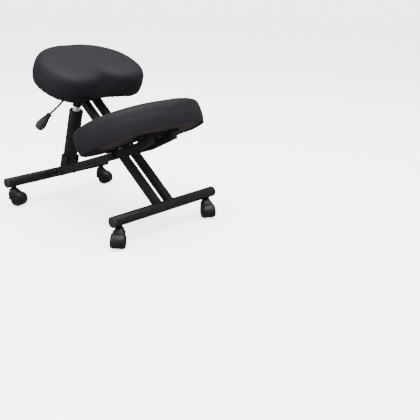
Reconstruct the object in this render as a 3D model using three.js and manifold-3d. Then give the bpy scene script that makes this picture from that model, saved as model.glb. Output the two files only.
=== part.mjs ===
// Kneeling chair: two crossed pairs of square steel rails on four twin-wheel casters,
// a saddle seat held up by a gas lift, and a notched knee pad.
// Millimetres, +Z up. The knees face -Y and +X is the sitter's left.

import * as THREE from 'three';
import Module from 'manifold-3d';
import { mergeVertices } from 'three/addons/utils/BufferGeometryUtils.js';

const wasm = await Module();
wasm.setup();

// Driving sizes
const FIT = 0.3;            // gap between pieces that touch
const OVER = 4;             // how far a cutter runs past what it cuts
const WELD = 0.0001;        // vertices closer than this are one
const FINE = 24;            // sides of a large round
const ROUND = 14;           // sides of a small round
const SLIM = 8;             // sides of a thin rod
const TREADS = 20;          // sides of a wheel
const BEND_STEPS = 3;       // flats of a rod's bend
const HEX = 6;              // sides of a bolt head

const WHEELBASE = 612;      // rear bar to front bar
const BAR_HEIGHT = 92;      // floor to the middle of a bar
const BAR_LENGTH = 480;
const BAR_RADIUS = 19;
const BAR_WALL = 2;

const RAIL_SIZE = 25;
const RAIL_WALL = 2;
const LOWER_TRACK = 110.3;  // between the middles of the lower rails
const UPPER_TRACK = 56.5;   // between the middles of the upper rails
const LOWER_ANGLE = THREE.MathUtils.degToRad(20.48);
const UPPER_ANGLE = THREE.MathUtils.degToRad(38.63);
const UPPER_PAST = 310.5;   // along an upper rail, crossing to its rear end
const BEND_PAST = 66.8;     // along a lower rail, crossing to its bend

const KNEE_TILT = THREE.MathUtils.degToRad(27.6);
const KNEE_SET = { back: 52.5, rise: 23.8 }; // the bend, behind and below the knee pad's middle
const KNEE_THICK = 89;
const KNEE_EDGE = 24;       // radius of the rim
const KNEE_ARM = 78;        // how far the lower rails run in front of that middle

const SEAT_TILT = THREE.MathUtils.degToRad(21.3);
const SEAT_SET = { back: 11.3, rise: 42.3 }; // the seat's middle, from the upper rails' end
const SEAT_THICK = 93;
const SEAT_EDGE = 34;

const COLUMN_AHEAD = 69;    // the bolt through the column's foot, in front of the rear bar
const COLUMN_OFFSET = 8;    // the tube stands this far behind the bolt
const COLUMN_RADIUS = 26.5;
const COLUMN_WALL = 2.2;
const COLUMN_SHORT = 71;    // along the column, the tube's top below the upper pivot
const PIVOT_SET = { back: 29.3, drop: 17.1 }; // the upper pivot, from the upper rails' end
const LIFT_RADIUS = 14;

const CASTER_TRACK = 432;   // between the stems of one bar
const WHEEL_RADIUS = 25;
const WHEEL_WIDTH = 21;
const CASTER_TRAIL = 19;
const STEM_RADIUS = 5.5;

// Shape helpers
const X = new THREE.Vector3(1, 0, 0);
const Y = new THREE.Vector3(0, 1, 0);
const Z = new THREE.Vector3(0, 0, 1);
const QUARTER = Math.PI / 2;

function solid(geometry) {
  const bare = geometry.clone();
  bare.deleteAttribute('normal');
  bare.deleteAttribute('uv');
  const merged = mergeVertices(bare, WELD);
  return new wasm.Manifold(new wasm.Mesh({
    numProp: 3,
    vertProperties: new Float32Array(merged.attributes.position.array),
    triVerts: new Uint32Array(merged.index.array),
  }));
}

function shell(manifold) {
  const mesh = manifold.getMesh();
  const geometry = new THREE.BufferGeometry();
  geometry.setAttribute('position', new THREE.BufferAttribute(mesh.vertProperties, 3));
  geometry.setIndex(new THREE.BufferAttribute(mesh.triVerts, 1));
  geometry.computeVertexNormals();
  return geometry;
}

const cut = (body, ...tools) => shell(
  tools.reduce((rest, tool) => rest.subtract(solid(tool)), solid(body)));
const join = (...bodies) => shell(
  bodies.slice(1).reduce((sum, body) => sum.add(solid(body)), solid(bodies[0])));
const keep = (body, tool) => shell(solid(body).intersect(solid(tool)));

const moved = (geometry, x, y, z) => geometry.clone().translate(x, y, z);
const SIDES = [['right', -1], ['left', 1]];
const vectors = (points) => points.map(([a, b]) => new THREE.Vector2(a, b));

// A round bar along +X, +Y or +Z, centred on the origin
function rod(radius, length, axis = Z, sides = ROUND) {
  const bar = new THREE.CylinderGeometry(radius, radius, length, sides);
  if (axis === X) bar.rotateZ(-QUARTER);
  if (axis === Z) bar.rotateX(QUARTER);
  return bar;
}

// A turned piece: profile of [radius, along] pairs from the axis back to the axis
function turned(profile, axis = Z, sides = ROUND) {
  const body = new THREE.LatheGeometry(vectors(profile), sides);
  if (axis === X) body.rotateZ(-QUARTER);
  if (axis === Z) body.rotateX(QUARTER);
  return body;
}

const sleeve = (outer, inner, length, axis = Z, sides = ROUND) => cut(
  rod(outer, length, axis, sides), rod(inner, length + OVER, axis, sides));

const raised = (outline, depth) => new THREE.ExtrudeGeometry(
  new THREE.Shape(vectors(outline)), { depth, bevelEnabled: false });

// A plate of the given width across X, with its outline in (y, z)
function plate(outline, width) {
  const body = raised(outline, width);
  body.applyMatrix4(new THREE.Matrix4().makeBasis(Y, Z, X));
  return body.translate(-width / 2, 0, 0);
}

// A slab standing on its outline in (x, y), from one height to another
const slab = (outline, low, high) => raised(outline, high - low).translate(0, 0, low);

const box = (wide, deep, high, x = 0, y = 0, z = 0) => moved(
  new THREE.BoxGeometry(wide, deep, high), x, y, z);

// Both sides of a path in (y, z), mitred, as one closed outline
function ribbon(path, half) {
  const side = (sign) => path.map((point, i) => {
    const before = path[Math.max(i - 1, 0)];
    const after = path[Math.min(i + 1, path.length - 1)];
    const into = new THREE.Vector2(point[0] - before[0], point[1] - before[1]);
    const out = new THREE.Vector2(after[0] - point[0], after[1] - point[1]);
    if (into.length() === 0) into.copy(out);
    if (out.length() === 0) out.copy(into);
    into.normalize();
    out.normalize();
    const bisector = into.clone().add(out).normalize();
    const reach = half / bisector.dot(into);
    return [point[0] - sign * reach * bisector.y, point[1] + sign * reach * bisector.x];
  });
  return [...side(1), ...side(-1).reverse()];
}

const along = (from, angle, distance) => [
  from[0] + distance * Math.cos(angle), from[1] + distance * Math.sin(angle)];

// Places of the frame, as (y, z) pairs with the front bar at y = 0
const frontBar = [0, BAR_HEIGHT];
const rearBar = [WHEELBASE, BAR_HEIGHT];
const lowerWay = Math.PI - LOWER_ANGLE;     // direction of the lower rails, rear to front
const kneeWay = Math.PI - KNEE_TILT;

// Where the two pairs of rails cross
const upperRun = WHEELBASE * Math.sin(LOWER_ANGLE) / Math.sin(LOWER_ANGLE + UPPER_ANGLE);
const lowerRun = WHEELBASE * Math.sin(UPPER_ANGLE) / Math.sin(LOWER_ANGLE + UPPER_ANGLE);
const crossing = along(frontBar, UPPER_ANGLE, upperRun);
const upperEnd = along(crossing, UPPER_ANGLE, UPPER_PAST);
const railBend = along(rearBar, lowerWay, lowerRun + BEND_PAST);
const footPivot = [WHEELBASE - COLUMN_AHEAD, BAR_HEIGHT + COLUMN_AHEAD * Math.tan(LOWER_ANGLE)];
const liftPivot = [upperEnd[0] + PIVOT_SET.back, upperEnd[1] - PIVOT_SET.drop];
const seatPlace = [upperEnd[0] + SEAT_SET.back, upperEnd[1] + SEAT_SET.rise];
const kneePlace = along(along(railBend, kneeWay, KNEE_SET.back), kneeWay - QUARTER, KNEE_SET.rise);

// Frames of the tilted groups: local x across, y along, z square to the group's plane
function tilted(place, angle) {
  const frame = new THREE.Matrix4().makeRotationX(angle);
  return frame.setPosition(0, place[0], place[1]);
}
const kneeFrame = tilted(kneePlace, -KNEE_TILT);
const seatFrame = tilted(seatPlace, SEAT_TILT);

// The column leans so that its axis, offset from the bolt, meets the upper pivot
const [columnRun, columnRise] = [liftPivot[0] - footPivot[0], liftPivot[1] - footPivot[1]];
const LIFT_TOP = Math.sqrt(columnRun ** 2 + columnRise ** 2 - COLUMN_OFFSET ** 2);
const COLUMN_TILT = Math.atan2(-columnRun, columnRise) + Math.atan2(COLUMN_OFFSET, LIFT_TOP);
const COLUMN_TOP = LIFT_TOP - COLUMN_SHORT;
const columnFrame = tilted(footPivot, COLUMN_TILT);
const into = (frame, geometry) => geometry.clone().applyMatrix4(frame);

const group = new THREE.Group();
const paint = { color: 0x17171a, roughness: 0.3, metalness: 0.4 };
const plastic = { color: 0x1c1c1f, roughness: 0.6, metalness: 0 };
const zinc = { color: 0xb4b6ba, roughness: 0.35, metalness: 0.9 };
const chrome = { color: 0xd2d4d8, roughness: 0.12, metalness: 1 };
const vinyl = { color: 0x201e24, roughness: 0.5, metalness: 0 };
const ply = { color: 0x4a3a34, roughness: 0.8, metalness: 0 };

function add(name, geometry, look) {
  const mesh = new THREE.Mesh(geometry, new THREE.MeshStandardMaterial(look));
  mesh.name = name;
  group.add(mesh);
  return mesh;
}

// Bolts along X with their nuts run up: a hexagon head at -X and the nut at +X
const BOLT = { radius: 5, head: 8.5, headThick: 6, nut: 8.5, nutThick: 7, end: 2 };
function boltAt([y, z], reach, size = BOLT) {
  const shank = moved(rod(size.radius, 2 * reach + size.nutThick + size.end, X),
    (size.nutThick + size.end) / 2, 0, 0);
  const head = moved(rod(size.head, size.headThick, X, HEX), -reach - size.headThick / 2, 0, 0);
  const nut = moved(rod(size.nut, size.nutThick, X, HEX), reach + size.nutThick / 2, 0, 0);
  return moved(join(shank, head, nut), 0, y, z);
}

// Transverse bars with their caps and caster sockets
const SOCKET = { radius: 8, flange: 11, flangeThick: 1.4, height: 14 };
const CAP = { radius: 19.6, length: 8, rim: 4, shoulder: 2, plug: 14 };
const capBreakShares = [1, 0.9, 0.62];      // radii over the dome
const capRiseShares = [0.35, 0.78, 0.96];   // heights over the dome
const stemX = CASTER_TRACK / 2;
const socketFoot = -BAR_RADIUS - FIT - SOCKET.flangeThick;

function bar(place) {
  const holes = [-stemX, stemX].map((x) => moved(
    rod(SOCKET.radius + FIT, BAR_RADIUS), x, 0, -BAR_RADIUS));
  const tube = cut(rod(BAR_RADIUS, BAR_LENGTH, X, FINE),
    rod(BAR_RADIUS - BAR_WALL, BAR_LENGTH + OVER, X, FINE), ...holes);
  return moved(tube, 0, ...place);
}

function cap(place, side) {
  const bore = BAR_RADIUS - BAR_WALL - FIT;
  const dome = CAP.length - CAP.rim;
  const profile = [
    [0, -CAP.plug], [bore, -CAP.plug], [bore, FIT], [CAP.radius, FIT], [CAP.radius, CAP.rim],
    ...capBreakShares.map((share, i) => [CAP.radius * share, CAP.rim + dome * capRiseShares[i]]),
    [0, CAP.length]];
  const body = turned(profile, X, FINE);
  if (side < 0) body.rotateZ(Math.PI);
  return moved(body, side * BAR_LENGTH / 2, ...place);
}

add('rear_bar', bar(rearBar), paint);
add('front_bar', bar(frontBar), paint);
for (const [word, side] of SIDES) {
  add(`rear_cap_${word}`, cap(rearBar, side), plastic);
  add(`front_cap_${word}`, cap(frontBar, side), plastic);
}

// Rails: square tube, coped to the bar that carries them
const lowerX = LOWER_TRACK / 2;
const upperX = UPPER_TRACK / 2;
const railTip = along(railBend, kneeWay, KNEE_SET.back + KNEE_ARM);
const lowerPath = [rearBar, railBend, railTip];
const upperPath = [frontBar, upperEnd];
const SLOT = { along: 185, radius: 2.6 };   // small hole in each upper rail's outer wall

function rail(path, barPlace, x, ...holes) {
  const inner = RAIL_SIZE - 2 * RAIL_WALL;
  const last = path[path.length - 1];
  const before = path[path.length - 2];
  const way = Math.atan2(last[1] - before[1], last[0] - before[0]);
  const longer = [...path.slice(0, -1), along(last, way, OVER)];
  const tube = cut(plate(ribbon(path, RAIL_SIZE / 2), RAIL_SIZE), plate(ribbon(longer, inner / 2), inner),
    moved(rod(BAR_RADIUS + FIT, RAIL_SIZE + OVER, X, FINE), 0, ...barPlace),
    ...holes);
  return moved(tube, x, 0, 0);
}

// Each lower rail carries two welded tabs for the knee pad's rear screws
const TAB = { long: 18, outer: 97, half: 1.5, root: 3 };
const TAB_REAR = { row: 'rear', behind: 59.5, drop: 7 };      // behind the bend
const TAB_MIDDLE = { row: 'middle', ahead: 0.5, drop: 14 };   // ahead of it
const TABS = [{ ...TAB_REAR, at: KNEE_SET.back + TAB_REAR.behind },
  { ...TAB_MIDDLE, at: KNEE_SET.back - TAB_MIDDLE.ahead }];
const BOARD = { low: 0, gap: 2 };
const tabRoot = RAIL_SIZE / 2 - TAB.root;
const tabWide = TAB.outer - LOWER_TRACK / 2 - tabRoot;
const tabTop = BOARD.low - FIT;
const tab = (side, { at, drop }) => into(kneeFrame, join(
  box(tabWide, TAB.long, 2 * TAB.half, side * (tabRoot + tabWide / 2), at, tabTop - TAB.half),
  box(TAB.root, TAB.long, drop, side * (tabRoot + TAB.root / 2), at, tabTop - drop / 2)));

// Screws up into the knee pad's board: two rows through the tabs, one through the strap
const STRAP = { half: 96, long: 30, wall: 3, at: -55 };
const SCREW = { radius: 2.6, head: 6.5, headThick: 3, bite: 10 };
const screwX = (LOWER_TRACK / 2 + RAIL_SIZE / 2 + STRAP.half) / 2;
const screwRows = [
  ...TABS.map(({ row, at }) => ({ row, v: at, under: tabTop - 2 * TAB.half - FIT })),
  { row: 'front', v: STRAP.at, under: tabTop - STRAP.wall - FIT }];
const screwPlaces = screwRows.flatMap(({ row, v, under }) => SIDES.map(([word, side]) => (
  { name: `knee_screw_${row}_${word}`, x: side * screwX, v, under })));
const pilots = screwPlaces.map(({ x, v }) => into(kneeFrame, moved(
  rod(SCREW.radius + FIT, 2 * (SCREW.bite + FIT)), x, v, 0)));

const crossHole = moved(rod(BOLT.radius + FIT, RAIL_SIZE + OVER, X), 0, ...crossing);
const footHole = moved(rod(BOLT.radius + FIT, RAIL_SIZE + OVER, X), 0, ...footPivot);
const slotPlace = along(frontBar, UPPER_ANGLE, SLOT.along);
const RAIL_BOLT = { radius: 3.4, head: 6, headThick: 4, nut: 6, nutThick: 5, end: 2, low: 32, high: 14 };
const railBolts = [RAIL_BOLT.low, RAIL_BOLT.high].map((back) => along(upperEnd, UPPER_ANGLE, -back));
const railBoltHoles = railBolts.map((place) => moved(
  rod(RAIL_BOLT.radius + FIT, RAIL_SIZE + OVER, X), 0, ...place));
for (const [word, side] of SIDES) {
  const lower = join(rail(lowerPath, rearBar, 0, crossHole, footHole), ...TABS.map((one) => tab(side, one)));
  add(`lower_rail_${word}`, cut(moved(lower, side * lowerX, 0, 0), ...pilots), paint);
  const outerHole = moved(rod(SLOT.radius, RAIL_SIZE / 2, X), side * RAIL_SIZE / 2, ...slotPlace);
  add(`upper_rail_${word}`, rail(upperPath, frontBar, side * upperX, crossHole, outerHole,
    ...railBoltHoles), paint);
}

// Plugs in the open front ends of the lower rails
const PLUG = { thick: 3, depth: 12 };
const armHeight = -KNEE_SET.rise;
const plugInside = RAIL_SIZE - 2 * RAIL_WALL - 2 * FIT;
const plugBody = join(
  box(RAIL_SIZE, PLUG.thick, RAIL_SIZE, 0, -KNEE_ARM - FIT - PLUG.thick / 2, armHeight),
  box(plugInside, PLUG.depth, plugInside, 0, -KNEE_ARM - 2 * FIT + PLUG.depth / 2, armHeight));
for (const [word, side] of SIDES) {
  add(`rail_plug_${word}`, moved(into(kneeFrame, plugBody), side * lowerX, 0, 0), plastic);
}

// Flat tie between the lower rails
const TIE = { along: 294, length: 25, thick: 5, drop: 1.2 };
const tieMiddle = along(rearBar, lowerWay, TIE.along);
const tieLift = RAIL_SIZE / 2 - TIE.drop - TIE.thick / 2;
const tieWide = LOWER_TRACK - RAIL_SIZE - 2 * FIT;
const tie = box(tieWide, TIE.length, TIE.thick, 0, 0, tieLift);
add('lower_tie_plate', tie.rotateX(-LOWER_ANGLE).translate(0, ...tieMiddle), paint);

// Crossing: one bolt through both pairs, a washer in each gap and a spacer between the upper rails
const railGap = (LOWER_TRACK - UPPER_TRACK) / 2 - RAIL_SIZE;
const WASHER = { radius: 11 };
const SPACER = { radius: 8.5 };
const crossReach = lowerX + RAIL_SIZE / 2 + FIT;
const washerThick = railGap - 2 * FIT;
add('cross_bolt', boltAt(crossing, crossReach), zinc);
for (const [word, side] of SIDES) {
  add(`cross_washer_${word}`, moved(sleeve(WASHER.radius, BOLT.radius + FIT, washerThick, X),
    side * (upperX + RAIL_SIZE / 2 + railGap / 2), ...crossing), plastic);
}
add('cross_spacer', moved(sleeve(SPACER.radius, BOLT.radius + FIT,
  UPPER_TRACK - RAIL_SIZE - 2 * FIT, X), 0, ...crossing), zinc);

// Gas lift: channel foot on a bolt, outer tube, guide, thin rod, sliding cylinder and eye
const FOOT = { wall: 2.4, front: 13, rear: 25, top: 60, drop: 28, corner: 8, web: 8 };
const footHalf = COLUMN_RADIUS + FIT + FOOT.wall;
const footOutline = [
  [-FOOT.front, FOOT.top], [-FOOT.front, -FOOT.web], [-FOOT.front + FOOT.corner, -FOOT.drop + FOOT.corner],
  [0, -FOOT.drop], [FOOT.rear - FOOT.corner, -FOOT.drop], [FOOT.rear, -FOOT.drop + FOOT.corner],
  [FOOT.rear, FOOT.top]];
const footInside = [
  [-FOOT.front - OVER, FOOT.top + OVER], [-FOOT.front - OVER, -FOOT.drop - OVER],
  [FOOT.rear - FOOT.wall, -FOOT.drop - OVER], [FOOT.rear - FOOT.wall, FOOT.top + OVER]];
const footWeb = [
  [-FOOT.front, FOOT.web + FOOT.wall], [-FOOT.front, FOOT.web],
  [FOOT.rear, FOOT.web], [FOOT.rear, FOOT.web + FOOT.wall]];
// Bosses on the cheeks keep the foot in the middle between the lower rails
const bossReach = lowerX - RAIL_SIZE / 2 - FIT;
const channel = join(
  cut(join(plate(footOutline, 2 * footHalf), rod(SPACER.radius, 2 * bossReach, X)),
    plate(footInside, 2 * (footHalf - FOOT.wall))),
  plate(footWeb, 2 * footHalf));
const tubeFloor = FOOT.web + FOOT.wall + FIT;
const tubeClear = moved(rod(COLUMN_RADIUS + FIT, COLUMN_TOP, Z, FINE), 0, COLUMN_OFFSET,
  tubeFloor - FIT + COLUMN_TOP / 2);
add('column_foot', into(columnFrame, cut(channel, tubeClear,
  rod(BOLT.radius + FIT, 2 * bossReach + OVER, X))), paint);
add('column_bolt', boltAt(footPivot, crossReach), zinc);

const tubeLength = COLUMN_TOP - tubeFloor;
const GUIDE = { flange: 5, length: 30, lip: 1.3, round: 2 };
const LIFT_ROD = { radius: 4, short: 45, plate: 4 };
const tubeBore = COLUMN_RADIUS - COLUMN_WALL;
const guideLip = COLUMN_RADIUS + GUIDE.lip;
add('column_tube', into(columnFrame, moved(cut(
  rod(COLUMN_RADIUS, tubeLength, Z, FINE),
  moved(rod(tubeBore, tubeLength, Z, FINE), 0, 0, LIFT_ROD.plate)), 0, COLUMN_OFFSET,
tubeFloor + tubeLength / 2)), paint);
add('column_guide', into(columnFrame, moved(cut(
  join(moved(rod(tubeBore - FIT, GUIDE.length + GUIDE.flange, Z, FINE), 0, 0,
    (GUIDE.flange - GUIDE.length) / 2),
  moved(turned([[0, 0], [guideLip, 0], [guideLip, GUIDE.flange - GUIDE.round],
    [guideLip - GUIDE.round, GUIDE.flange], [0, GUIDE.flange]], Z, FINE), 0, 0, FIT)),
  rod(LIFT_RADIUS + FIT, COLUMN_TOP, Z)), 0, COLUMN_OFFSET, COLUMN_TOP)), plastic);
const rodFoot = tubeFloor + LIFT_ROD.plate + FIT;
const rodTop = COLUMN_TOP - LIFT_ROD.short;
add('lift_rod', into(columnFrame, moved(rod(LIFT_ROD.radius, rodTop - rodFoot), 0, COLUMN_OFFSET,
  (rodTop + rodFoot) / 2)), chrome);

// The sliding cylinder carries a socket with an eye round the seat's pivot bolt
const CYLINDER = { inside: 150, bore: 5.2, end: 22 };
const EYE = { drop: 48, radius: 14, half: 12, collar: 17, shoulder: 3, clearance: 2.2, neck: 24 };
const PIVOT = { radius: 4.8, head: 8, headThick: 5, nut: 8, nutThick: 6, end: 2 };
const eyeFoot = LIFT_TOP - EYE.drop;
const cylinderTop = eyeFoot + EYE.neck;
const cylinderFoot = COLUMN_TOP - CYLINDER.inside;
const cylinderLength = cylinderTop - cylinderFoot;
add('lift_cylinder', into(columnFrame, moved(cut(
  rod(LIFT_RADIUS, cylinderLength),
  moved(rod(CYLINDER.bore, cylinderLength), 0, 0, -CYLINDER.end)), 0, COLUMN_OFFSET,
cylinderFoot + cylinderLength / 2)), chrome);
const eyeBody = keep(
  join(turned([[0, eyeFoot], [EYE.collar - EYE.shoulder / 3, eyeFoot],
    [EYE.collar, eyeFoot + EYE.shoulder], [EYE.collar, eyeFoot + EYE.neck - EYE.shoulder],
    [EYE.radius, eyeFoot + EYE.neck], [EYE.radius, LIFT_TOP], [0, LIFT_TOP]], Z, FINE),
  moved(rod(EYE.radius, 2 * EYE.half, X, FINE), 0, 0, LIFT_TOP)),
  join(box(2 * EYE.half, 2 * EYE.radius, LIFT_TOP, 0, 0, LIFT_TOP),
    moved(rod(EYE.collar + OVER, EYE.neck, Z, FINE), 0, 0, eyeFoot + EYE.neck / 2)));
add('lift_socket', into(columnFrame, moved(cut(eyeBody,
  moved(rod(LIFT_RADIUS + FIT, 2 * (EYE.neck + FIT)), 0, 0, eyeFoot),
  moved(rod(PIVOT.radius + EYE.clearance, 2 * EYE.half + OVER, X), 0, 0, LIFT_TOP)),
0, COLUMN_OFFSET, 0)), plastic);
const BUTTON = { radius: 2.6, height: 4.4 };
const buttonFoot = LIFT_TOP + EYE.radius + FIT;
add('release_button', into(columnFrame, moved(rod(BUTTON.radius, BUTTON.height), 0, COLUMN_OFFSET,
  buttonFoot + BUTTON.height / 2)), zinc);

// Seat bracket: top plate under the board and two side plates outside the upper rails
const BRACKET = { thick: 3, wing: 72, front: 62, rear: 44 };
const plateHalf = upperX + RAIL_SIZE / 2 + FIT;
const cheekShares = {
  along: [-1, -0.65, -0.65, 0.14, 0.5, 1],      // of the plate's front and rear reach
  down: [0, -0.6, -0.84, -1, -0.98, 0],         // of the cheek's depth
};
const CHEEK = 88;
const plateTop = BOARD.low - FIT;
const cheekOutline = cheekShares.along.map((share, i) => [
  share < 0 ? share * BRACKET.front : share * BRACKET.rear, plateTop + cheekShares.down[i] * CHEEK]);
const cheek = (side) => moved(
  plate(cheekOutline, BRACKET.thick), side * (plateHalf + BRACKET.thick / 2), 0, 0);
const topPlate = box(2 * BRACKET.wing, BRACKET.front + BRACKET.rear, BRACKET.thick, 0,
  (BRACKET.rear - BRACKET.front) / 2, plateTop - BRACKET.thick / 2);

// Release lever: a bent rod through the right cheek, turning on a pin between two lugs
const LEVER_RADIUS = 4;
const LEVER_BEND = 7;
const LEVER_EYE = { radius: 6.5, half: 4.6 };
const LEVER_SET = {                     // from the upper pivot
  pivot: { side: 52, back: -2.3, rise: 17 }, finger: { side: -3, back: -5.3, rise: 28 },
  elbow: { side: 32, back: -4.3, rise: 28 }, bend: { side: 59, back: 1.4, rise: -7.5 },
  middle: { side: 93, back: 5.2, rise: -37.5 }, neck: { side: 128, back: 11.2, rise: -62.5 },
  tip: { side: 167, back: 33.2, rise: -114 },
};
const leverPoint = ({ side, back, rise }) => [-side, liftPivot[0] + back, liftPivot[1] + rise];
const LEVER = Object.fromEntries(
  Object.entries(LEVER_SET).map(([word, place]) => [word, leverPoint(place)]));
const LUG = { gap: 0.6, thick: 3, radius: 7.5, slot: 9 };
const GRIP = { wide: 37, thick: 13, bevel: 3, socket: 8 };
const leverPin = { radius: 2.4 };
const lugOuter = LEVER_EYE.half + LUG.gap + LUG.thick;
const wallX = -plateHalf - BRACKET.thick;
const lug = (side) => {
  const [x, y, z] = LEVER.pivot;
  const middle = y + side * (LEVER_EYE.half + LUG.gap + LUG.thick / 2);
  return join(moved(rod(LUG.radius, LUG.thick, Y), x, middle, z),
    box(wallX - x + FIT, LUG.thick, 2 * LUG.radius, (wallX + x + FIT) / 2, middle, z));
};
const rodSlot = moved(rod(LUG.slot, 2 * LUG.radius, X), wallX, LEVER.pivot[1],
  (LEVER.pivot[2] + LEVER.elbow[2]) / 2);
const bracketHoles = [liftPivot, ...railBolts].map((place, i) => moved(
  rod((i ? RAIL_BOLT.radius : PIVOT.radius) + FIT, 2 * BRACKET.wing, X), 0, ...place));
add('seat_bracket', cut(join(into(seatFrame, join(topPlate, cheek(-1), cheek(1))), lug(-1), lug(1)),
  ...bracketHoles, rodSlot,
  moved(rod(leverPin.radius + FIT, 2 * lugOuter + OVER, Y), ...LEVER.pivot)), paint);
const bracketReach = plateHalf + BRACKET.thick + FIT;
add('seat_pivot_bolt', boltAt(liftPivot, bracketReach, PIVOT), zinc);
railBolts.forEach((place, i) => add(`rail_bolt_${i + 1}`, boltAt(place, bracketReach, RAIL_BOLT), zinc));

// A round rod along a path, with every corner rounded and the ends square
function bentRod(path, radius) {
  const corners = path.map((place) => new THREE.Vector3(...place));
  const centres = corners.flatMap((corner, i) => {
    if (i === 0 || i === corners.length - 1) return [corner];
    const [before, after] = [corners[i - 1], corners[i + 1]].map((other) => corner.clone()
      .addScaledVector(other.clone().sub(corner).normalize(), LEVER_BEND));
    return new THREE.QuadraticBezierCurve3(before, corner, after).getPoints(BEND_STEPS);
  });
  const ways = centres.slice(1).map((centre, i) => centre.clone().sub(centres[i]).normalize());
  let spokes = Array.from({ length: SLIM }, (_, i) => new THREE.Vector3(radius, 0, 0)
    .applyAxisAngle(Z, 2 * Math.PI * i / SLIM).applyQuaternion(
      new THREE.Quaternion().setFromUnitVectors(Z, ways[0])));
  const rings = centres.map((centre, i) => {
    const [before, after] = [ways[Math.max(i - 1, 0)], ways[Math.min(i, ways.length - 1)]];
    const cross = before.clone().add(after).normalize();
    const ring = spokes.map((spoke) => centre.clone().add(spoke)
      .addScaledVector(before, -spoke.dot(cross) / before.dot(cross)));
    const turn = new THREE.Quaternion().setFromUnitVectors(before, after);
    spokes = spokes.map((spoke) => spoke.clone().applyQuaternion(turn));
    return ring;
  });
  const faces = [];
  for (let k = 0; k < SLIM; k += 1) {
    const next = (k + 1) % SLIM;
    const [first, last] = [centres[0], centres[centres.length - 1]];
    faces.push(first, rings[0][next], rings[0][k], last, rings.at(-1)[k], rings.at(-1)[next]);
    for (let i = 0; i + 1 < rings.length; i += 1) {
      const [a, b, c, d] = [rings[i][k], rings[i][next], rings[i + 1][next], rings[i + 1][k]];
      faces.push(a, b, c, a, c, d);
    }
  }
  return new THREE.BufferGeometry().setFromPoints(faces);
}
const neck = new THREE.Vector3(...LEVER.neck);
const tip = new THREE.Vector3(...LEVER.tip);
const gripWay = tip.clone().sub(neck).normalize();
const rodEnd = neck.clone().addScaledVector(gripWay, GRIP.socket);
add('lever_rod', cut(join(
  bentRod([LEVER.finger, LEVER.elbow, LEVER.pivot, LEVER.bend, LEVER.middle, LEVER.neck,
    rodEnd.toArray()], LEVER_RADIUS),
  moved(rod(LEVER_EYE.radius, 2 * LEVER_EYE.half, Y), ...LEVER.pivot)),
moved(rod(leverPin.radius + FIT, LEVER_EYE.radius * 2 + OVER, Y), ...LEVER.pivot)), paint);
add('lever_pin', moved(rod(leverPin.radius, 2 * lugOuter, Y), ...LEVER.pivot), zinc);

// Paddle grip: a drop-shaped outline, bevelled, with its broad face outward
const gripLength = neck.distanceTo(tip);
const gripShares = [
  [0, 0.36], [0.18, 0.42], [0.42, 0.74], [0.62, 0.96], [0.78, 1], [0.91, 0.8], [0.98, 0.42]];
const gripSide = gripShares.map(([run, half]) => [
  run * gripLength, half * (GRIP.wide / 2 - GRIP.bevel)]);
const gripOutline = [...gripSide, ...gripSide.map(([a, b]) => [a, -b]).reverse()];
const outwardShares = [-1, -0.6, 0.4];
const outward = new THREE.Vector3(...outwardShares);
outward.addScaledVector(gripWay, -outward.dot(gripWay)).normalize();
const across = new THREE.Vector3().crossVectors(outward, gripWay);
const grip = new THREE.ExtrudeGeometry(new THREE.Shape(vectors(gripOutline)), {
  depth: GRIP.thick - 2 * GRIP.bevel, bevelThickness: GRIP.bevel, bevelSize: GRIP.bevel, bevelSegments: 2 });
grip.translate(0, 0, GRIP.bevel - GRIP.thick / 2);
grip.applyMatrix4(new THREE.Matrix4().makeBasis(gripWay, across, outward).setPosition(neck));
const gripHole = bentRod([LEVER.middle, LEVER.neck,
  rodEnd.clone().addScaledVector(gripWay, FIT).toArray()], LEVER_RADIUS + 2 * FIT);
add('lever_grip', cut(grip, gripHole), plastic);

// Cushions: rings from the underside over the rim to the crown, inside a closed outline
const rimShares = [0.02, 0.14, 0.36, 0.68, 1];        // ring insets, as shares of the rim radius
const ringShare = 0.9;
const OUTLINE_POINTS = 60;

function outlineOf(half, points) {
  const left = half.slice(1, -1).map(([u, v]) => [-u, v]).reverse();
  const curve = new THREE.CatmullRomCurve3(
    [...half, ...left].map(([u, v]) => new THREE.Vector3(u, v, 0)), true);
  return curve.getSpacedPoints(points).slice(0, -1).map((p) => new THREE.Vector2(p.x, p.y));
}

// Distance from a point to the closed outline
function depthIn(outline, point) {
  let best = Infinity;
  outline.forEach((a, i) => {
    const b = outline[(i + 1) % outline.length];
    const side = new THREE.Vector2().subVectors(b, a);
    const run = new THREE.Vector2().subVectors(point, a).dot(side) / side.lengthSq();
    const foot = a.clone().addScaledVector(side, THREE.MathUtils.clamp(run, 0, 1));
    best = Math.min(best, point.distanceTo(foot));
  });
  return best;
}

// The core point that each outline point draws in towards, evened out along the outline
function coresOf(outline, spine) {
  let cores = outline.map((point) => {
    let best = spine[0];
    for (const s of spine) if (point.distanceTo(s) < point.distanceTo(best)) best = s;
    return best.clone();
  });
  for (let pass = 0; pass < outline.length / 9; pass += 1) {
    cores = cores.map((core, i) => cores[(i + outline.length - 1) % outline.length].clone()
      .add(cores[(i + 1) % outline.length]).add(core).multiplyScalar(1 / 3));
  }
  return cores;
}

const drawIn = (outline, cores, inset) => outline.map((point, i) => {
  const share = Math.min(inset / point.distanceTo(cores[i]), ringShare);
  return point.clone().lerp(cores[i], share);
});

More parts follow.
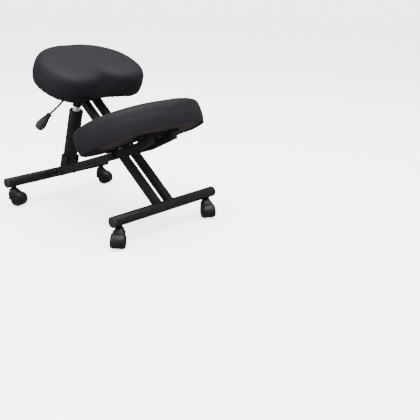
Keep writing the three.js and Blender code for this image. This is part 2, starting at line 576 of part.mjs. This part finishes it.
function loft(rings) {
  const count = rings[0].length;
  const positions = rings.flat().flatMap((p) => [p.x, p.y, p.z]);
  const index = [];
  for (let r = 0; r + 1 < rings.length; r += 1) {
    for (let i = 0; i < count; i += 1) {
      const j = (i + 1) % count;
      const [a, b, c, d] = [r * count + i, r * count + j, (r + 1) * count + j, (r + 1) * count + i];
      index.push(a, b, c, a, c, d);
    }
  }
  const flat = (ring) => ring.map((p) => new THREE.Vector2(p.x, p.y));
  for (const [a, b, c] of THREE.ShapeUtils.triangulateShape(flat(rings[0]), [])) index.push(a, c, b);
  const top = (rings.length - 1) * count;
  for (const [a, b, c] of THREE.ShapeUtils.triangulateShape(flat(rings[rings.length - 1]), [])) {
    index.push(top + a, top + b, top + c);
  }
  const geometry = new THREE.BufferGeometry();
  geometry.setAttribute('position', new THREE.Float32BufferAttribute(positions, 3));
  geometry.setIndex(index);
  return geometry;
}

const atHeight = (ring, height) => ring.map((p) => new THREE.Vector3(p.x, p.y,
  typeof height === 'function' ? height(p) : height));

function cushion(size) {
  const outline = outlineOf(size.half, OUTLINE_POINTS);
  const foot = outlineOf(size.footHalf, OUTLINE_POINTS);
  const middle = outline.map((point, i) => point.clone().lerp(foot[i], 1 / 2));
  const [cores, footCores] = [outline, foot].map((edge) => coresOf(edge, size.spine));
  const crownAt = (p) => {
    const d = depthIn(outline, p);
    if (d < size.edge) return size.thick - size.edge + Math.sqrt(size.edge ** 2 - (size.edge - d) ** 2);
    const share = Math.min((d - size.edge) / (size.reach - size.edge), 1);
    return size.thick + size.crown * Math.sin(share * QUARTER);
  };
  // How far the rim hangs below the board, fading out towards the rear
  const lipAt = (p) => size.lip * THREE.MathUtils.smoothstep(size.lipEnd - p.y, 0, size.lipEnd);
  const wall = size.thick - size.edge;
  const insets = [...rimShares.map((share) => share * size.edge), (size.edge + size.reach) / 2, size.reach];
  return loft([
    atHeight(drawIn(foot, footCores, size.skirt), size.pocket),
    atHeight(drawIn(foot, footCores, size.skirt), (p) => size.skirt / 4 - lipAt(p)),
    atHeight(drawIn(foot, footCores, size.skirt / 3), (p) => -lipAt(p)),
    atHeight(drawIn(foot, footCores, size.tuck / 3), (p) => size.tuck - lipAt(p)),
    atHeight(drawIn(middle, cores, -size.swell), wall / 2),
    ...insets.map((inset) => atHeight(drawIn(outline, cores, inset), crownAt)),
  ]);
}

function board(size) {
  const outline = outlineOf(size.footHalf, OUTLINE_POINTS);
  const cores = coresOf(outline, size.spine);
  const edge = drawIn(outline, cores, size.skirt + BOARD.gap);
  return slab(edge.map((p) => [p.x, p.y]), BOARD.low, size.pocket - FIT);
}

const spineOf = (points) => new THREE.CatmullRomCurve3(
  [...points.slice(1).map(([u, v]) => [-u, v]).reverse(), ...points]
    .map(([u, v]) => new THREE.Vector3(u, v, 0)),
).getSpacedPoints(OUTLINE_POINTS).map((p) => new THREE.Vector2(p.x, p.y));

const KNEE = {
  wide: 251, front: 166, rear: 145, notchWide: 51, notchDeep: 137, edge: KNEE_EDGE,
  crown: 4, reach: 44, skirt: 11, pocket: 14.3, tuck: 7, swell: 2, lip: 6, lipEnd: 100 };
const kneeNotch = KNEE.rear - KNEE.notchDeep;
const kneeShares = {
  front: [[0, 1], [0.27, 0.99], [0.56, 0.87], [0.8, 0.65], [0.95, 0.33]],
  rear: [[1, 0], [0.98, 0.34], [0.91, 0.66], [0.78, 0.9], [0.6, 1], [0.4, 0.97]],
  notch: [[1.28, 0.88], [1, 0.7], [0.97, 0.36], [0.74, 0.1], [0, 0]],
  spine: [[0, -0.46], [0.28, -0.44], [0.48, -0.28], [0.59, 0], [0.6, 0.32], [0.56, 0.62]],
};
const kneeHalf = [
  ...kneeShares.front.map(([u, v]) => [u * KNEE.wide, -v * KNEE.front]),
  ...kneeShares.rear.map(([u, v]) => [u * KNEE.wide, v * KNEE.rear]),
  ...kneeShares.notch.map(([u, v]) => [u * KNEE.notchWide, kneeNotch + v * KNEE.notchDeep]),
];
const kneeSpine = spineOf(kneeShares.spine.map(([u, v]) => [
  u * KNEE.wide, v * (v < 0 ? KNEE.front : KNEE.rear)]));
const kneePad = { ...KNEE, half: kneeHalf, footHalf: kneeHalf, spine: kneeSpine, thick: KNEE_THICK };

const SEAT = {
  wide: 212, front: 164, rear: 121, notch: 126, footNotch: 147, edge: SEAT_EDGE,
  crown: 4, reach: 80, skirt: 12, pocket: 14.3, tuck: 8, swell: 3, lip: 4, lipEnd: 90 };
const seatShares = {
  shoulder: [[0.13, 0.85]],
  footShoulder: [[0.12, 0.925]],
  front: [[0.29, 0.955], [0.51, 1], [0.74, 0.945], [0.91, 0.75], [0.99, 0.48], [1, 0.12]],
  rear: [[0.93, 0.25], [0.76, 0.61], [0.54, 0.855], [0.27, 0.985], [0, 1]],
  spine: [[0, -0.12], [0.25, -0.18], [0.52, -0.28]],
};
// The dip in the front edge is deeper at the top than over the board
const seatHalf = (notch, shoulder) => [
  [0, -notch],
  ...[...shoulder, ...seatShares.front].map(([u, v]) => [u * SEAT.wide, -v * SEAT.front]),
  ...seatShares.rear.map(([u, v]) => [u * SEAT.wide, v * SEAT.rear])];
const seatPad = {
  ...SEAT,
  half: seatHalf(SEAT.notch, seatShares.shoulder),
  footHalf: seatHalf(SEAT.footNotch, seatShares.footShoulder),
  spine: spineOf(seatShares.spine.map(([u, v]) => [u * SEAT.wide, v * SEAT.front])),
  thick: SEAT_THICK,
};

add('seat_cushion', into(seatFrame, cushion(seatPad)), vinyl);
add('knee_cushion', into(kneeFrame, cushion(kneePad)), vinyl);

add('seat_board', into(seatFrame, board(seatPad)), ply);

// Hat-section strap across the lower rails' front arms, and the screws
const strapLow = armHeight + RAIL_SIZE / 2 + FIT;
const strapHigh = tabTop - strapLow;
const strapMiddle = (tabTop + strapLow) / 2;
const strap = cut(box(2 * STRAP.half, STRAP.long, strapHigh, 0, STRAP.at, strapMiddle),
  box(2 * STRAP.half + OVER, STRAP.long - 2 * STRAP.wall, strapHigh, 0, STRAP.at,
    strapMiddle - STRAP.wall));
add('knee_strap', cut(into(kneeFrame, strap), ...pilots), paint);
for (const { name, x, v, under } of screwPlaces) {
  const tall = SCREW.bite - under;
  add(name, into(kneeFrame, moved(join(
    moved(rod(SCREW.radius, tall), 0, 0, under + tall / 2),
    moved(rod(SCREW.head, SCREW.headThick), 0, 0, under - SCREW.headThick / 2)), x, v, 0)), zinc);
}
add('knee_board', cut(into(kneeFrame, board(kneePad)), ...pilots), ply);

// Casters. Local frame: the stem's foot at the origin, the wheels trailing towards +Y
const HOOD = {
  wall: 2.5, gap: 1.4, web: 6, bossFront: 13, bossRear: 10, corner: 5, low: 8, shell: 3 };
const BELL = { neck: 11.5, shoulder: 14.5, drop: 9, spread: 20 };  // the boss, flaring down to the hood
const TAPER = { wide: 8, drop: 3.2 };   // the wheels' outer edges, and the hood over them
const AXLE = { radius: 3 };
const HUB = { radius: 8, bore: AXLE.radius + FIT, dish: 2.2, rim: 3, tread: 1.6 };
const COLLAR = { radius: 9, thick: 2 };
const stemFoot = BAR_HEIGHT + socketFoot;
const hoodTop = stemFoot - COLLAR.thick - 3 * FIT;
const hoodRadius = WHEEL_RADIUS + HOOD.gap + HOOD.wall;
const wheelIn = HOOD.web / 2 + FIT;
const wheelOut = wheelIn + WHEEL_WIDTH;
const STEM = { grip: 26, bite: 16 };
const axleLength = 2 * (wheelOut - HUB.dish);
const HOOD_STEPS = 14;

// A solid about the axle, narrowing towards +X over the wheel's taper
const domed = (radius, low, high, over) => turned([
  [0, low], [radius, low], [radius, high - TAPER.wide], [radius - TAPER.drop, high],
  [radius - TAPER.drop, high + over], [0, high + over]], X, FINE);
function bothWays(body) {
  const other = body.clone();
  other.rotateZ(Math.PI);
  return [body, other];
}

// Over the wheels from the stem's side, and down behind them almost to the floor
function hood() {
  const centre = [CASTER_TRAIL, WHEEL_RADIUS];
  const arc = [];
  const from = -Math.asin((WHEEL_RADIUS - HOOD.low) / hoodRadius);
  for (let i = 0; i <= HOOD_STEPS; i += 1) {
    arc.push(along(centre, from + (Math.PI - from) * i / HOOD_STEPS, hoodRadius + HOOD.wall));
  }
  const half = wheelOut - HOOD.shell / 2;
  const crown = join(...bothWays(domed(hoodRadius, -HOOD.web, half, 0))).translate(0, ...centre);
  const shellBody = keep(plate([...arc, centre], 2 * half), crown);
  const top = [
    [-HOOD.bossFront, WHEEL_RADIUS], [CASTER_TRAIL, WHEEL_RADIUS], [CASTER_TRAIL, WHEEL_RADIUS + hoodRadius],
    [HOOD.bossRear, hoodTop - HOOD.corner / 2], [HOOD.bossRear - HOOD.corner, hoodTop],
    [-HOOD.bossFront + HOOD.corner / 2, hoodTop], [-HOOD.bossFront, hoodTop - HOOD.corner / 2]];
  const skirt = half - TAPER.drop - FIT;
  const flare = [[BELL.neck, hoodTop + OVER], [BELL.neck, hoodTop], [BELL.shoulder, hoodTop - BELL.drop],
    [skirt, hoodTop - BELL.spread], [skirt, 0]];
  const bell = plate([...flare, ...flare.map(([a, b]) => [-a, b]).reverse()], 2 * hoodRadius);
  const boss = keep(plate(top, 2 * half), bell.rotateZ(QUARTER));
  const wall = plate([
    [-HOOD.bossFront, hoodTop - 3 * HOOD.corner], [-HOOD.bossFront, WHEEL_RADIUS],
    [CASTER_TRAIL, WHEEL_RADIUS], [CASTER_TRAIL, WHEEL_RADIUS + hoodRadius],
    [0, hoodTop - 2 * HOOD.corner]], 2 * (half - TAPER.drop));
  const hollows = bothWays(domed(WHEEL_RADIUS + HOOD.gap, wheelIn - FIT, wheelOut, OVER))
    .map((hollow) => moved(hollow, 0, ...centre));
  const open = cut(join(shellBody, boss, wall), ...hollows,
    moved(rod(STEM_RADIUS + FIT, 2 * (STEM.bite + FIT)), 0, 0, hoodTop));
  return join(open, moved(rod(AXLE.radius, axleLength, X), 0, ...centre));
}

function stem() {
  const foot = hoodTop - STEM.bite;
  const top = stemFoot + STEM.grip;
  return join(moved(rod(STEM_RADIUS, top - foot), 0, 0, (top + foot) / 2),
    moved(rod(COLLAR.radius, COLLAR.thick + 2 * FIT), 0, 0, stemFoot - COLLAR.thick / 2),
    moved(rod(SOCKET.flange, SOCKET.flangeThick, Z, FINE), 0, 0, stemFoot + SOCKET.flangeThick / 2),
    moved(rod(SOCKET.radius, SOCKET.height - socketFoot), 0, 0,
      BAR_HEIGHT + (SOCKET.height + socketFoot) / 2));
}

// Outer face at +X. Dished between hub and tread
const wheel = (side) => {
  const [low, high] = [wheelIn, wheelOut];
  const edge = WHEEL_RADIUS - TAPER.drop;
  const body = turned([[HUB.bore, low], [WHEEL_RADIUS - HUB.tread, low], [WHEEL_RADIUS, low + HUB.tread],
    [WHEEL_RADIUS, high - TAPER.wide], [edge, high], [edge - HUB.rim, high],
    [edge - HUB.rim - HUB.dish, high - HUB.dish], [HUB.radius + HUB.dish, high - HUB.dish],
    [HUB.radius, high - HUB.dish / 2], [HUB.bore, high - HUB.dish / 2], [HUB.bore, low]], X, TREADS);
  if (side < 0) body.rotateZ(Math.PI);
  return body;
};

// Each caster: a stem with its socket, a hood with its axle and two wheels.
// Its swivel angle about its stem, as it stands
const degrees = THREE.MathUtils.degToRad;
const CASTERS = [
  ['rear_right', -stemX, rearBar, degrees(208)], ['rear_left', stemX, rearBar, degrees(204)],
  ['front_right', -stemX, frontBar, degrees(127)], ['front_left', stemX, frontBar, degrees(152)],
];
const hoodBody = hood();
const stemBody = stem();
for (const [name, x, place, turn] of CASTERS) {
  const swing = (geometry) => geometry.clone().rotateZ(turn)
    .translate(x, place[0], 0);
  const onAxle = (geometry) => moved(geometry, 0, CASTER_TRAIL, WHEEL_RADIUS);
  add(`${name}_stem`, moved(stemBody, x, place[0], 0), zinc);
  add(`${name}_hood`, swing(hoodBody), plastic);
  add(`${name}_wheel_a`, swing(onAxle(wheel(-1))), plastic);
  add(`${name}_wheel_b`, swing(onAxle(wheel(1))), plastic);
}

// Origin: on the floor, in the middle of the whole chair
const bounds = new THREE.Box3();
for (const mesh of group.children) {
  mesh.geometry.computeBoundingBox();
  bounds.union(mesh.geometry.boundingBox);
}
const middle = bounds.getCenter(new THREE.Vector3());
for (const mesh of group.children) mesh.geometry.translate(-middle.x, -middle.y, -bounds.min.z);

export default group;
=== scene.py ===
import math

import bmesh
import bpy
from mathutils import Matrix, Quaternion, Vector


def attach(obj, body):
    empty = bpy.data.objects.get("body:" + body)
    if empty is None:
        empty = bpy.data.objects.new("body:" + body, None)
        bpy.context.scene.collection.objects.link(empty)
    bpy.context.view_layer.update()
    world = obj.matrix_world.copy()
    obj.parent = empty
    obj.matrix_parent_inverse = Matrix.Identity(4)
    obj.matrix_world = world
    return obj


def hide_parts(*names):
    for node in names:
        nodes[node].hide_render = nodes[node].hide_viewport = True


# A kneeling chair in a pale studio. All lengths are in metres and all tilts in degrees.

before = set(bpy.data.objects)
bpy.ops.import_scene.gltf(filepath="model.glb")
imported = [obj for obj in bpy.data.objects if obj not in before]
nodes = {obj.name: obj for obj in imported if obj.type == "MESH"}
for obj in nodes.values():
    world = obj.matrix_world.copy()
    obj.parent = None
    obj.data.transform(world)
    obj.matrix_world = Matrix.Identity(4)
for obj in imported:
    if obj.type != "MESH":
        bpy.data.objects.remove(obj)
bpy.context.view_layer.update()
scene = bpy.context.scene

WELD = 0.00002    # points closer than this are one point


# ---- shader nodes ----------------------------------------------------------

NOISE_LOW, NOISE_HIGH = 0.3, 0.7    # nearly all values of a noise texture lie between these


def shader(name, base, roughness, metallic=0.0, specular=0.5, sheen=0.0):
    """A new material and the nodes that the detail hangs on."""
    mat = bpy.data.materials.new(name)
    mat.use_nodes = True
    tree = mat.node_tree
    bsdf = tree.nodes["Principled BSDF"]
    bsdf.inputs["Base Color"].default_value = (*base, 1.0)
    bsdf.inputs["Roughness"].default_value = roughness
    bsdf.inputs["Metallic"].default_value = metallic
    bsdf.inputs["Specular IOR Level"].default_value = specular
    bsdf.inputs["Sheen Weight"].default_value = sheen
    return mat, tree, bsdf


def place(tree, scale=(1, 1, 1), shift=(0, 0, 0)):
    """Object coordinates, which are the frame's own, times scale and then shifted."""
    coords = tree.nodes.new("ShaderNodeTexCoord")
    mapping = tree.nodes.new("ShaderNodeMapping")
    mapping.inputs["Scale"].default_value = scale
    mapping.inputs["Location"].default_value = shift
    tree.links.new(coords.outputs["Object"], mapping.inputs["Vector"])
    return mapping.outputs["Vector"]


def noise_of(tree, where, scale, detail=3.0, rough=0.5):
    tex = tree.nodes.new("ShaderNodeTexNoise")
    tex.inputs["Scale"].default_value = scale
    tex.inputs["Detail"].default_value = detail
    tex.inputs["Roughness"].default_value = rough
    tree.links.new(where, tex.inputs["Vector"])
    return tex.outputs["Fac"]


def cells_of(tree, where, scale):
    """The distance to the nearest edge between the cells of a Voronoi texture."""
    tex = tree.nodes.new("ShaderNodeTexVoronoi")
    tex.feature = "DISTANCE_TO_EDGE"
    tex.inputs["Scale"].default_value = scale
    tree.links.new(where, tex.inputs["Vector"])
    return tex.outputs["Distance"]


def spread(tree, value, low, high, into=(0.0, 1.0)):
    """Maps value from low..high to the given range."""
    node = tree.nodes.new("ShaderNodeMapRange")
    node.inputs["From Min"].default_value = low
    node.inputs["From Max"].default_value = high
    node.inputs["To Min"].default_value = into[0]
    node.inputs["To Max"].default_value = into[1]
    tree.links.new(value, node.inputs["Value"])
    return node.outputs["Result"]


def uneven(tree, where, scale, detail, into=(0.0, 1.0)):
    """Noise that fills the given range."""
    return spread(tree, noise_of(tree, where, scale, detail), NOISE_LOW, NOISE_HIGH, into)


def mixed(tree, factor, a, b):
    """Goes from a, a colour or another node's output, to the colour b."""
    node = tree.nodes.new("ShaderNodeMix")
    node.data_type = "RGBA"
    if isinstance(a, tuple):
        node.inputs["A"].default_value = (*a, 1.0)
    else:
        tree.links.new(a, node.inputs["A"])
    node.inputs["B"].default_value = (*b, 1.0)
    tree.links.new(factor, node.inputs["Factor"])
    return node.outputs["Result"]


def shade_of(colour, share):
    """The colour made darker, or lighter where share is over 1."""
    return tuple(share * c for c in colour)


def bump(tree, bsdf, height, distance, strength, onto=None):
    node = tree.nodes.new("ShaderNodeBump")
    node.inputs["Strength"].default_value = strength
    node.inputs["Distance"].default_value = distance
    tree.links.new(height, node.inputs["Height"])
    if onto is not None:
        tree.links.new(onto, node.inputs["Normal"])
    tree.links.new(node.outputs["Normal"], bsdf.inputs["Normal"])
    return node.outputs["Normal"]


# ---- materials -------------------------------------------------------------

def powder_coat():
    """Black paint with a slight orange peel."""
    mat, tree, bsdf = shader("powder_coat", (0.0090, 0.0088, 0.0096), roughness=0.32, specular=0.08)
    where = place(tree)
    tone = uneven(tree, where, scale=38, detail=4)
    tree.links.new(mixed(tree, tone, (0.0078, 0.0076, 0.0083), (0.0102, 0.0099, 0.0112)), bsdf.inputs["Base Color"])
    tree.links.new(uneven(tree, where, scale=70, detail=3, into=(0.28, 0.38)), bsdf.inputs["Roughness"])
    peel = noise_of(tree, where, scale=240, detail=2)
    bump(tree, bsdf, peel, distance=0.00008, strength=0.35)
    return mat


def moulded(name, base, roughness, grain, depth):
    """Black plastic with a moulded grain: how fine it is, and how deep."""
    mat, tree, bsdf = shader(name, base, roughness, specular=0.3)
    where = place(tree)
    tone = uneven(tree, where, scale=60, detail=3)
    tree.links.new(mixed(tree, tone, shade_of(base, 0.82), shade_of(base, 1.2)), bsdf.inputs["Base Color"])
    gloss = uneven(tree, where, scale=110, detail=2, into=(roughness - 0.05, roughness + 0.06))
    tree.links.new(gloss, bsdf.inputs["Roughness"])
    bump(tree, bsdf, noise_of(tree, where, scale=grain, detail=2), distance=depth, strength=0.6)
    return mat


def plated(name, base):
    """Plated steel, lightly grained."""
    mat, tree, bsdf = shader(name, base, roughness=0.3, metallic=1.0)
    where = place(tree)
    tone = uneven(tree, where, scale=220, detail=3)
    tree.links.new(mixed(tree, tone, shade_of(base, 0.8), shade_of(base, 1.2)), bsdf.inputs["Base Color"])
    bump(tree, bsdf, noise_of(tree, where, scale=1400, detail=2), distance=0.00006, strength=0.5)
    return mat


def chromed():
    """Polished, with fine streaks along the cylinder."""
    mat, tree, bsdf = shader("chrome_plate", (0.93, 0.94, 0.96), roughness=0.16, metallic=0.7)
    along = place(tree, scale=(1, 1, 0.04))
    tree.links.new(uneven(tree, along, scale=900, detail=2, into=(0.12, 0.2)), bsdf.inputs["Roughness"])
    return mat


def cover():
    """Coated cloth: a fine pebble grain, broad soft unevenness and a cool sheen."""
    mat, tree, bsdf = shader("cushion_cover", (0.009, 0.0083, 0.0105), roughness=0.56, specular=0.10, sheen=0.012)
    bsdf.inputs["Sheen Roughness"].default_value = 0.45
    bsdf.inputs["Sheen Tint"].default_value = (0.72, 0.68, 0.82, 1.0)
    where = place(tree)
    tone = uneven(tree, where, scale=7, detail=3)
    tree.links.new(mixed(tree, tone, (0.0086, 0.0077, 0.0101), (0.0097, 0.0087, 0.0115)), bsdf.inputs["Base Color"])
    tree.links.new(uneven(tree, where, scale=45, detail=4, into=(0.54, 0.58)), bsdf.inputs["Roughness"])
    soft = bump(tree, bsdf, noise_of(tree, where, scale=16, detail=2), distance=0.0008, strength=0.3)
    pebble = spread(tree, cells_of(tree, where, scale=640), low=0.0, high=0.28)
    bump(tree, bsdf, pebble, distance=0.00022, strength=0.4, onto=soft)
    return mat


def under_board(name, middle, half_wide, half_deep):
    """Stained board, bare in an oval about x = 0 and y = middle, with the cover turned in over the rest."""
    mat, tree, bsdf = shader(name, (0.012, 0.009, 0.008), roughness=0.8, specular=0.05)
    grain_along_x = place(tree, scale=(1, 9, 1))
    streak = noise_of(tree, grain_along_x, scale=26, detail=5, rough=0.6)
    tone = spread(tree, streak, low=0.3, high=0.72)
    wood = mixed(tree, tone, (0.0170, 0.0130, 0.0118), (0.0460, 0.0310, 0.0250))
    in_oval = place(tree, scale=(1 / half_wide, 1 / half_deep, 0), shift=(0, -middle / half_deep, 0))
    away = tree.nodes.new("ShaderNodeVectorMath")
    away.operation = "LENGTH"
    tree.links.new(in_oval, away.inputs[0])
    edge = spread(tree, away.outputs["Value"], low=0.9, high=1.1)
    tree.links.new(mixed(tree, edge, wood, (0.0085, 0.0078, 0.0092)), bsdf.inputs["Base Color"])
    bump(tree, bsdf, streak, distance=0.0003, strength=0.5)
    return mat


PAINT = powder_coat()
CAP = moulded("cap_plastic", (0.0095, 0.0095, 0.0100), roughness=0.62, grain=900, depth=0.0004)
WHEEL = moulded("wheel_plastic", (0.0040, 0.0040, 0.0044), roughness=0.46, grain=500, depth=0.0001)
HOOD = moulded("hood_plastic", (0.0048, 0.0048, 0.0053), roughness=0.5, grain=420, depth=0.0001)
TRIM = moulded("trim_plastic", (0.005, 0.005, 0.0055), roughness=0.45, grain=600, depth=0.00015)
PLUG = moulded("plug_plastic", (0.012, 0.012, 0.013), roughness=0.55, grain=600, depth=0.00015)
ZINC = plated("zinc_plate", (0.78, 0.79, 0.81))
BLACKED = plated("black_plate", (0.05, 0.05, 0.054))
CHROME = chromed()
COVER = cover()
KNEE_BOARD = under_board("knee_board", middle=-0.23, half_wide=0.205, half_deep=0.115)
SEAT_BOARD = under_board("seat_board", middle=0.15, half_wide=0.15, half_deep=0.10)

BLACKED_NODES = ("column_bolt", "cross_bolt", "cross_spacer", "seat_pivot_bolt")


def look_of(name):
    if name.endswith("_cushion"):
        return COVER
    if name.endswith("_board"):
        return KNEE_BOARD if name.startswith("knee") else SEAT_BOARD
    if "_cap_" in name:
        return CAP
    if "_wheel_" in name or name == "lever_grip":
        return WHEEL
    if name.endswith("_hood"):
        return HOOD
    if name.startswith("rail_plug"):
        return PLUG
    if "washer" in name or name in ("column_guide", "lift_socket"):
        return TRIM
    if name in ("lift_rod", "lift_cylinder"):
        return CHROME
    if name.endswith("_stem") or name.startswith("knee_screw_front") or name in BLACKED_NODES:
        return BLACKED
    if "bolt" in name or "screw" in name or name in ("lever_pin", "release_button"):
        return ZINC
    return PAINT


# ---- the CAD nodes that stay -----------------------------------------------

RAIL_EDGE, MOULDED_EDGE, METAL_EDGE = 0.0018, 0.0009, 0.0006    # widths of the softened edges
SHARP = math.radians(34)                                        # an edge that turns more than this is softened


def edge_width(name):
    if "_rail_" in name:
        return RAIL_EDGE
    return MOULDED_EDGE if look_of(name) in (CAP, WHEEL, HOOD, TRIM, PLUG) else METAL_EDGE


def finish_node(name, obj):
    obj.data.materials.clear()
    obj.data.materials.append(look_of(name))
    for poly in obj.data.polygons:
        poly.use_smooth = True
    weld = obj.modifiers.new("weld", "WELD")
    weld.merge_threshold = WELD
    if name == "lever_rod":    # too thin for its facets to be softened
        return
    edge = obj.modifiers.new("edges", "BEVEL")
    edge.limit_method = "ANGLE"
    edge.angle_limit = SHARP
    edge.segments = 2
    edge.width = edge_width(name)
    edge.use_clamp_overlap = True
    edge.harden_normals = True


for name, obj in nodes.items():
    finish_node(name, obj)


# ---- cushions --------------------------------------------------------------

SEAT_TILT, KNEE_TILT = 21.3, -27.6    # as the cushions lie in the part's source
VOXEL = 0.0035        # of the remeshed cover
RIM = 0.018           # the lowest part of a cushion, which stays crisp over its board
SOFT_ROUNDS = 14      # of smoothing, above the rim
EVEN_ROUNDS = 3       # of smoothing, all over
SHRINK = 0.0008       # taken off before the cover is blown up
SWELL_CAP = 0.002     # the most that a point moves when it is
CLOTH_FRAMES = 12


def smooth(bm, rounds, verts=None):
    for _ in range(rounds):
        bmesh.ops.smooth_vert(
            bm, verts=verts or bm.verts, factor=0.5, use_axis_x=True, use_axis_y=True, use_axis_z=True)


def applied(obj):
    """Bakes the modifiers into the mesh."""
    graph = bpy.context.evaluated_depsgraph_get()
    baked = bpy.data.meshes.new_from_object(obj.evaluated_get(graph), depsgraph=graph)
    obj.modifiers.clear()
    old = obj.data
    obj.data = baked
    bpy.data.meshes.remove(old)


def remeshed_copy(node, name):
    """A new object with the node's form in even faces."""
    mesh = nodes[node].data.copy()
    obj = bpy.data.objects.new(name, mesh)
    scene.collection.objects.link(obj)
    bm = bmesh.new()
    bm.from_mesh(mesh)
    bmesh.ops.remove_doubles(bm, verts=bm.verts, dist=WELD)
    bmesh.ops.recalc_face_normals(bm, faces=bm.faces)
    bm.to_mesh(mesh)
    bm.free()
    bpy.context.view_layer.objects.active = obj
    remesh = obj.modifiers.new("remesh", "REMESH")
    remesh.mode = "VOXEL"
    remesh.voxel_size = VOXEL
    applied(obj)
    return obj


def soften(obj, tilt):
    """Smooths the form above the rim, evens all of it out, and shrinks it a little."""
    bm = bmesh.new()
    bm.from_mesh(obj.data)
    up = Vector((0.0, -math.sin(math.radians(tilt)), math.cos(math.radians(tilt))))
    foot = min(v.co.dot(up) for v in bm.verts)
    smooth(bm, SOFT_ROUNDS, [v for v in bm.verts if v.co.dot(up) - foot > RIM])
    smooth(bm, EVEN_ROUNDS)
    bm.normal_update()
    for v in bm.verts:
        v.co -= v.normal * SHRINK
    bm.to_mesh(obj.data)
    bm.free()


def blow_up(obj):
    """Swells the form as cloth under pressure, without gravity."""
    start = [v.co.copy() for v in obj.data.vertices]
    cloth = obj.modifiers.new("cloth", "CLOTH")
    cloth.settings.quality = 4
    cloth.settings.mass = 0.3
    cloth.settings.tension_stiffness = 25
    cloth.settings.compression_stiffness = 25
    cloth.settings.bending_stiffness = 3
    cloth.settings.use_pressure = True
    cloth.settings.uniform_pressure_force = 4
    cloth.settings.effector_weights.gravity = 0
    cloth.collision_settings.use_collision = False
    for step in range(1, CLOTH_FRAMES + 1):
        scene.frame_set(step)
    applied(obj)
    scene.frame_set(1)
    for v, before in zip(obj.data.vertices, start):
        move = v.co - before
        if move.length > SWELL_CAP:
            v.co = before + move * (SWELL_CAP / move.length)


def refine(obj):
    bm = bmesh.new()
    bm.from_mesh(obj.data)
    smooth(bm, 1)
    bm.to_mesh(obj.data)
    bm.free()
    fine = obj.modifiers.new("fine", "SUBSURF")
    fine.levels = fine.render_levels = 1
    applied(obj)


def padding(node, name, body, tilt):
    """The cushion's cover: remeshed from its form, blown up a little as cloth, then refined."""
    obj = remeshed_copy(node, name)
    soften(obj, tilt)
    blow_up(obj)
    refine(obj)
    obj.data.materials.clear()
    obj.data.materials.append(COVER)
    for poly in obj.data.polygons:
        poly.use_smooth = True
    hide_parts(node)
    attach(obj, body)


padding("seat_cushion", "seat_pad", "upper_frame", SEAT_TILT)
padding("knee_cushion", "knee_pad", "lower_frame", KNEE_TILT)


# ---- floor, light and camera -----------------------------------------------

GLOW = 2.2                     # the lit floor of a studio table
FLOOR_SIDES = 64
FLOOR_PROFILE = [              # radius and height
    (12.0, 0.0), (14.0, 0.4), (15.6, 1.4), (16.8, 3.0), (17.5, 5.2), (17.8, 8.0), (17.8, 30.0)]
SKY, SKY_GLOSS = 1.9, 0.25     # the studio's walls, and how bright they are in reflections
WHITE = (1.0, 1.0, 1.0, 1.0)
MIDDLE = (0.0, 0.0, 0.3)       # the lamps point here


def floor():
    """A flat floor that sweeps up far away, all round. No reflection shows it, and it lights nothing."""
    turns = [2 * math.pi * i / FLOOR_SIDES for i in range(FLOOR_SIDES)]
    points = [(0.0, 0.0, 0.0)] + [(r * math.cos(t), r * math.sin(t), z) for r, z in FLOOR_PROFILE for t in turns]
    pairs = [(i, (i + 1) % FLOOR_SIDES) for i in range(FLOOR_SIDES)]
    faces = [(0, 1 + i, 1 + j) for i, j in pairs]
    for ring in range(len(FLOOR_PROFILE) - 1):
        inner, outer = 1 + ring * FLOOR_SIDES, 1 + (ring + 1) * FLOOR_SIDES
        faces += [(inner + i, outer + i, outer + j, inner + j) for i, j in pairs]
    mesh = bpy.data.meshes.new("floor")
    mesh.from_pydata(points, [], faces)
    mesh.shade_smooth()
    obj = bpy.data.objects.new("floor", mesh)
    scene.collection.objects.link(obj)
    mat, tree, bsdf = shader("floor_white", (0.9, 0.9, 0.9), roughness=0.75, specular=0.2)
    tone = noise_of(tree, place(tree), scale=2)
    tree.links.new(mixed(tree, tone, (0.89, 0.89, 0.89), (0.92, 0.92, 0.92)), bsdf.inputs["Base Color"])
    bsdf.inputs["Emission Color"].default_value = WHITE
    bsdf.inputs["Emission Strength"].default_value = GLOW
    mesh.materials.append(mat)
    obj.visible_glossy = False
    obj.visible_diffuse = False


def studio():
    world = bpy.data.worlds.new("studio")
    world.use_nodes = True
    tree = world.node_tree
    background = tree.nodes["Background"]
    background.inputs["Color"].default_value = WHITE
    rays = tree.nodes.new("ShaderNodeLightPath")
    strength = spread(tree, rays.outputs["Is Glossy Ray"], low=0.0, high=1.0, into=(SKY, SKY_GLOSS))
    tree.links.new(strength, background.inputs["Strength"])
    scene.world = world


def lamp(name, where, size, power):
    data = bpy.data.lights.new(name, "AREA")
    data.shape = "RECTANGLE"
    data.size, data.size_y = size
    data.energy = power
    obj = bpy.data.objects.new(name, data)
    obj.location = where
    obj.rotation_mode = "QUATERNION"
    obj.rotation_quaternion = (Vector(MIDDLE) - Vector(where)).to_track_quat("-Z", "Y")
    scene.collection.objects.link(obj)


floor()
studio()
lamp("key", where=(-0.1, -0.6, 3.2), size=(4.0, 4.0), power=385)
lamp("fill", where=(-3.4, 1.2, 1.6), size=(2.0, 1.6), power=95)

# The camera was fitted to the photograph's left view
camera = bpy.data.objects.new("camera", bpy.data.cameras.new("camera"))
scene.collection.objects.link(camera)
scene.camera = camera
camera.rotation_mode = "QUATERNION"
camera.location = (-1.566144, -1.861677, 0.84442)
camera.rotation_quaternion = Quaternion((0.7451457, 0.5249307, -0.2477819, -0.3283442))
camera.data.sensor_width = 36.0
camera.data.lens = 57.1106
